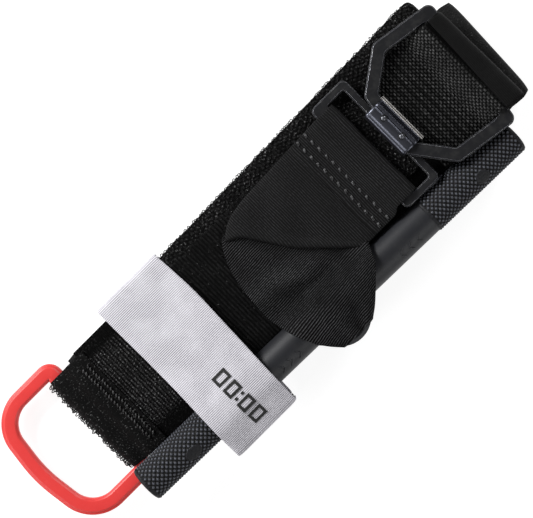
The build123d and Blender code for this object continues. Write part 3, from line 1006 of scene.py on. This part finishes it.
def upper_ribbon():
    """Ribbon from under the frame's bar, over it and left to the mitre, where it folds under."""
    share = np.linspace(0, 1, 110)
    loop, loop_places = frame_loop_rows(share)
    panel, panel_places = mitred_panel_rows(share, loop_places[-1])
    under, under_places = folded_under_rows(panel[-1], panel_places[-1])
    points = np.array(loop + panel + under)
    along = np.array(loop_places + panel_places + under_places)
    across = np.tile((share - 0.5) * RIBBON_WIDTH, (len(points), 1))
    shape = cloth_shape(points, along, across, 0.95)
    piece = place_piece(shape, "ribbon_upper", SMOOTH_RIBBON, "belt")


ROD_SLOPE = 0.017

# The lower ribbon's two edges, as X at each Y, and its height at each Y.
LOWER_LEFT = curve_through(
    (-29.4, -26.0, -22.0, -14.0, -9.0, 0.0, 7.0, 14.0, 17.5, 21.0),
    (-0.6, -3.6, -6.3, -9.9, -11.0, -10.6, -9.7, -7.5, -5.8, -3.4),
)
LOWER_RIGHT = curve_through(
    (-29.4, -27.0, -25.0, -21.5, -16.5, -12.5, -8.0, -1.5, 4.5, 10.0, 16.0, 19.5, 21.0),
    (11.8, 15.0, 17.2, 20.6, 24.6, 26.2, 28.0, 22.5, 17.5, 13.5, 9.0, 4.5, -1.0),
)
LOWER_Z = curve_through(
    (-29.4, -27.5, -24.5, -21.5, -18.3, -16.0, -14.0, -12.6, -11.0, -8.5, 30.0),
    (16.6, 17.3, 18.1, 18.85, 19.1, 18.75, 17.7, 16.5, 15.1, 14.15, 14.1),
)


def hood_row(share, y):
    """One row of the lower ribbon: it lies under the mitre, then rises and gathers over the rod."""
    left, right = LOWER_LEFT(y), LOWER_RIGHT(y)
    x = left + (right - left) * share
    tilt = 0.10 * (x - (left + right) / 2) * smooth_step(y, -24, -10)
    edge = np.minimum(share, 1 - share) * (right - left)
    sink = 0.2 * (1 - smooth_step(edge, 0.0, 2.5)) * smooth_step(y, -8, -2)
    gather = 1 - smooth_step(y, -27.0, -8.0)
    fold = 0.3 * (0.4 + np.sin(share * math.pi * 5.3 + 0.6)) * gather
    clear = smooth_step(MITRE(np.full_like(share, y)) - x, 2.0, 9.0)
    hump = 1.3 * np.exp(-(((y + 3.5 + 0.15 * x) / 4.0) ** 2)) * clear
    swell = 0.3 * np.sin(x * 0.45 + y * 0.25) * clear * smooth_step(y, -12, -6)
    z = LOWER_Z(y - tilt) + fold + hump + swell - sink - ROD_SLOPE * (x - HUB[0]) * gather
    return points_at(x, y - tilt, z)


def tail_rows(share, last):
    """Rows from the hood's end, down through the lug's slot and back under the rod."""
    corners = [(-29.3, 16.6), (-29.0, 14.6), (-26.9, 13.2), (-26.7, 4.7), (-8.6, 4.7)]
    path = rounded_path(corners, [0.8, 0.8, 0.9], run_step=0.8)[1:]
    start_x, start_z = last[:, 0], last[:, 2]
    end_x = -0.8 + 12.6 * share
    rows = []
    for index, (y, z) in enumerate(path):
        x = start_x + (end_x - start_x) * min(1.0, index / 6)
        rows.append(points_at(x, y, (start_z + z) / 2 if index == 0 else z))
    return rows


def lower_ribbon():
    """Ribbon from under the mitre, over the windlass, through its slot and back to the belt."""
    share = np.linspace(0, 1, 100)
    rows = [hood_row(share, y) for y in np.linspace(20.8, -29.3, 150)]
    points = np.array(rows + tail_rows(share, rows[-1]))
    middle = points[:, len(share) // 2]
    along = running_length(middle)[:, None] + 0.15 * points[..., 0]
    across = np.tile((share - 0.5) * RIBBON_WIDTH, (len(points), 1))
    shape = cloth_shape(points, along, across, 0.9)
    piece = place_piece(shape, "ribbon_lower", RIBBON, "belt", ["windlass_ribbon"])


# --- write-on band ---
BAND_WIDTH = 25.5
BAND_UNDER_Z = 2.7

# The band's two edges, as X at each Y.
BAND_LEFT = curve_through((-31, 0, 32), (-47.3, -46.5, -47.0))
BAND_RIGHT = curve_through((-31, -20, 0, 15, 26, 32), (-22.4, -22.0, -21.3, -20.9, -21.4, -21.9))


def band_grid(path, columns):
    """Grid of the band along a path in Y and Z, with its places along and across."""
    share = np.linspace(0, 1, columns)
    y, z = path[:, :1], path[:, 1:]
    left, right = BAND_LEFT(y), BAND_RIGHT(y)
    points = points_at(left + (right - left) * share, y, z)
    along = np.tile(running_length(path)[:, None], (1, columns))
    across = np.tile((share - 0.5) * BAND_WIDTH, (len(path), 1))
    return points, along, across


def band_flap_path():
    """Middle line of the band's free part, from the far side over the windlass and down."""
    side = BAND_HINGE[1] + 0.1
    outer = limits("time_band")[0][1] + 0.5
    over_rod = 19.45
    corners = [(side, 6.0), (side, 13.4), (-13.0, over_rod), (-20.5, over_rod), (outer, 15.4), (outer, 3.5)]
    return rounded_path(corners, [1.6, 12.0, 8.0, 1.8], run_step=0.8)


def band_flap():
    """The band's free part, left where it is built; on the real band it peels away from a root that stays
    on the belt.
    """
    points, along, across = band_grid(band_flap_path(), 60)
    flat = smooth_step(points[..., 1], -26, -12) * (1 - smooth_step(points[..., 1], 20, 31))
    sag = 0.35 * np.sin(points[..., 1] * 0.13 + 0.5) * np.sin(points[..., 0] * 0.2)
    points[..., 2] += flat * sag * 0.6
    shape = cloth_shape(points, along, across, 0.9, edge_power=16)
    piece = shape.build("band_flap", BAND)
    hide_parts("time_band")
    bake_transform(piece)


def band_anchor():
    """The band's fixed part, under the pack and out past the windlass."""
    side = BAND_HINGE[1] - 0.9
    lip = -28.4
    corners = [(side, 11.5), (side, BAND_UNDER_Z), (lip, BAND_UNDER_Z), (lip, 7.6)]
    points, along, across = band_grid(rounded_path(corners, [1.4, 1.4], run_step=1.0), 40)
    shape = cloth_shape(points, along, across, 0.9, edge_power=16)
    piece = place_piece(shape, "band_under", BAND, "belt", ["band_anchor"])


def closure(name, node, body, material, backed):
    """Hook or loop patch: rows of tiny hooks on one side of a thin base."""
    low, high = limits(node)
    middle = (low + high) / 2
    path = points_at(middle[0], middle[1], np.linspace(low[2], high[2], 30))
    points, along, across = strap_points(path, high[0] - low[0], 90, (1.0, 0.0, 0.0))
    relief = 0.14 * stagger(along, across, 0.8, 0.8)
    front, back = (None, relief) if backed else (relief, None)
    shape = cloth_shape(points, along, across, 0.26, front, back)
    place_piece(shape, name, material, body, [node])


# --- webbing round the release ring ---
def ring_webbing():
    """Coarse webbing: flat inside the ring, rising over its bar and folding back under it."""
    low, high = 13.6, 15.3
    bend_r = 2.75
    top = HEX_AXIS[2] + bend_r
    under = HEX_AXIS[2] - bend_r
    corners = [
        (60.6, high), (79.5, high), (85.5, top), (92.1, top),
        (92.1, under), (84.0, under), (80.0, low), (61.5, low),
    ]
    path = rounded_path(corners, [4.0, 3.0, 2.7, 2.7, 3.0, 3.0], arc_step=0.2, run_step=0.2)
    line = points_at(path[:, 0], 6.1, path[:, 1])
    points, along, across = strap_points(line, 37.0, 180)
    narrow = smooth_step(points[..., 0], 78.0, 83.0)
    points[..., 1] -= (across * 0.057 + 0.65) * narrow
    by_hem = smooth_step(points[..., 0], 73.0, 80.0)
    line_pitch = 2.52
    lines = np.cos(2 * math.pi * points[..., 0] / line_pitch)
    bold = 0.35 + 0.45 * by_hem + 0.35 * (1 - by_hem) * lines
    bumps = stagger(along, across, 0.84, 1.67) ** (1.5 - 0.8 * bold)
    relief = (0.4 + 0.45 * bold) * bumps * (0.6 + 0.4 * fuzz(along.shape, 17))
    relief *= 1 - smooth_step(points[..., 0], 84.8, 86.4)
    shape = cloth_shape(points, along, across, 1.1, relief, 0.1 * bumps)
    piece = place_piece(shape, "ring_webbing", WEBBING, "belt", ["buckle_webbing"])


def hem():
    """Smooth cloth sewn over the webbing's bend."""
    bend_r = 3.6
    start, end = 86.5, 92.6
    top = HEX_AXIS[2] + bend_r
    under = HEX_AXIS[2] - bend_r
    corners = [(start, top), (end, top), (end, under), (start + 1.0, under)]
    path = rounded_path(corners, [3.0, 3.0], run_step=0.5)
    line = points_at(path[:, 0], HEX_AXIS[1] + 0.35, path[:, 1])
    width = 35.3
    points, along, across = strap_points(line, width, 90)
    share = (points[..., 0] - start) / (end - start)
    points[..., 1] -= (points[..., 0] - HEX_AXIS[0]) * 0.8 * math.tan(HEX_YAW)
    points[..., 0] += (0.045 - 0.06 * share) * across
    sag = 0.25 * np.sin(across * 0.35) * np.sin(along * 0.5)
    points[..., 2] += np.minimum(sag, 0.0)
    shape = cloth_shape(points, along, across, 0.55, edge_power=16)
    piece = place_piece(shape, "hem_cloth", HEM, "belt", ["hem_sleeve"])


# --- clasp on the release ring ---
# The height of the clasp's sheet at each X.
CLASP_PROFILE = curve_through(
    (54.9, 55.4, 57.2, 57.7, 58.0, 58.4, 59.0, 59.5, 60.0, 60.5, 61.0, 61.8),
    (19.4, 19.85, 20.2, 20.05, 19.3, 19.7, 19.85, 19.6, 18.9, 18.8, 19.5, 19.68),
)


def clasp_sheet():
    """Bent sheet of the clasp: its lip, a rounded body, a groove, a rib and a tail for the bar."""
    low, high = limits("clasp")
    lip_x = low[0] + 0.4
    x = np.linspace(55.2, high[0] - 0.3, 60)
    top = np.stack([x, CLASP_PROFILE(x)], axis=-1)
    lip = rounded_path([(lip_x, low[2]), (lip_x, 19.3), (55.0, 19.55)], [0.8], arc_step=0.1, run_step=0.4)
    path = np.concatenate([lip, top])
    line = points_at(path[:, 0], (low[1] + high[1]) / 2, path[:, 1])
    points, along, across = strap_points(line, high[1] - low[1], 40)
    shape = cloth_shape(points, along, across, 0.7, edge_power=40)
    place_piece(shape, "clasp_sheet", GUNMETAL, "release_ring", ["clasp"])


def rivet_heads():
    """Two domed rivet heads, each in a dark ring of painted shade where the sheet is pressed down."""
    low, high = limits("clasp_rivets")
    x = (low[0] + high[0]) / 2
    from_end = (high[0] - low[0]) / 2
    head_r, head_z, head_height = 0.8, 20.35, 0.42
    ring_r, ring_z = 0.98, 20.42
    heads = Shape()
    # Painted shade: thin dark tubes round each head stand for the shaded dimple.
    shade_rings = Shape()
    for y in (low[1] + from_end, high[1] - from_end):
        turn, rise = np.meshgrid(np.linspace(0, 2 * math.pi, 24, endpoint=False), np.linspace(0, 1, 8))
        size = head_r * np.cos(rise * math.pi / 2 * 0.97)
        z = head_z + head_height * np.sin(rise * math.pi / 2)
        dome = points_at(x + size * np.cos(turn), y + size * np.sin(turn), z)
        heads.add(dome, grid_faces(*size.shape, closed_columns=True)[:, ::-1])
        angle = np.linspace(0, 2 * math.pi, 25)
        tube(shade_rings, points_at(x + ring_r * np.cos(angle), y + ring_r * np.sin(angle), ring_z), 0.16)
    place_piece(heads, "rivet_heads", RIVET, "release_ring", ["clasp_rivets"])
    place_piece(shade_rings, "rivet_shade_rings", COATING, "release_ring")


# --- CAD pieces that keep their shape ---
def finish_node(node, material, bevel=0.0, edge=None):
    """A CAD node's finish, with small rounded edges that may have a finish of their own."""
    obj = frame["nodes"][node]
    obj.data.materials.clear()
    obj.data.materials.append(material)
    if not bevel:
        return
    weld = obj.modifiers.new("weld", "WELD")
    weld.merge_threshold = 1e-6
    modifier = obj.modifiers.new("edge", "BEVEL")
    modifier.width = bevel * MM
    modifier.segments = 2
    modifier.limit_method = "ANGLE"
    modifier.angle_limit = math.radians(35)
    # An edge finish paints a highlight onto the rounded edges.
    if edge:
        obj.data.materials.append(edge)
        modifier.material = 1


# --- camera, lights and floor ---
def add_light(name, place, size, power):
    """A square lamp aimed at the middle of the object."""
    data = bpy.data.lights.new(name, "AREA")
    data.size = size
    data.energy = power
    light = bpy.data.objects.new(name, data)
    light.location = place
    aim = Vector((0, 0, 0.01)) - Vector(place)
    light.rotation_euler = aim.to_track_quat("-Z", "Y").to_euler()
    bpy.context.scene.collection.objects.link(light)


def studio():
    """Pale floor and soft lamps all round, low enough to leave flat black cloth dark."""
    bpy.ops.mesh.primitive_plane_add(size=4.0, location=(0, 0, -0.0006))
    floor = bpy.context.object
    floor.name = "studio_floor"
    floor.data.materials.append(floor_finish())
    add_light("key", (-0.2, 0.62, 0.4), 0.25, 7.5)
    add_light("fill", (0.1, -0.65, 0.45), 0.45, 2.2)
    add_light("rim", (0.7, 0.2, 0.35), 0.25, 2.4)
    add_light("side", (-0.7, 0.05, 0.4), 0.3, 2.0)
    world = bpy.data.worlds.new("studio_world")
    world.use_nodes = True
    world.node_tree.nodes["Background"].inputs[0].default_value = (1, 1, 1, 1)
    world.node_tree.nodes["Background"].inputs[1].default_value = 0.07
    bpy.context.scene.world = world
    bpy.context.scene.view_settings.view_transform = "Standard"


def camera():
    """Straight down, with the belt running from lower left to upper right."""
    data = bpy.data.cameras.new("camera")
    data.lens = 100.0
    data.sensor_width = 36.0
    data.clip_end = 20.0
    eye = bpy.data.objects.new("camera", data)
    right = Vector((1, -1, 0)).normalized()
    up = Vector((1, 1, 0)).normalized()
    back = Vector((0, 0, 1))
    frame_width = 0.1645
    middle = Vector((0.00164, 0.00661, 0.014))
    place = middle + back * (frame_width * data.lens / data.sensor_width)
    turn = Matrix((right, up, back)).transposed().to_4x4()
    eye.matrix_world = Matrix.Translation(place) @ turn
    bpy.context.scene.collection.objects.link(eye)
    bpy.context.scene.camera = eye


folded_belt()
pile_panel()
edge_fringe()
ribbed_ply()
tape_panel()
pull_tab()
tab_fringe()
seams(
    "tab_seams", TAB_THREAD, "tab_stitching", (-63.4, -61.4),
    y_range=(-7.0, 23.0), z=9.55, pitch=1.25, size=0.95, slant=0.35, radius=0.16,
)
ring_piece()
upper_ribbon()
lower_ribbon()
seams(
    "ribbon_seams", THREAD, "ribbon_stitching", (33.5, 37.0),
    y_range=(-11.3, 24.5), z=15.45, pitch=2.95, size=1.5, slant=0.2, radius=0.24,
)
grip("grip_left", -79.6, -50.4, 5.5, 1.83, (-61.5, math.radians(118), (3.0, 2.0)))
grip("grip_right", 40.4, 77.6, 5.65, 1.69, (61.0, math.radians(120), (2.5, 2.2)))
hub_marks()
band_flap()
band_anchor()
closure("band_loops", "band_loop_patch", "belt", PILE, True)
closure("band_hooks", "band_hook_patch", "time_band", TAPE, False)
ring_webbing()
hem()
clasp_sheet()
rivet_heads()
finish_node("windlass", PLASTIC)
finish_node("release_frame", COATING, 0.22, EDGE_HIGHLIGHT)
finish_node("release_ring", COATING, 0.25, EDGE_HIGHLIGHT)
finish_node("clasp_bar", POLISHED)
finish_node("time_field", INK)
studio()
camera()
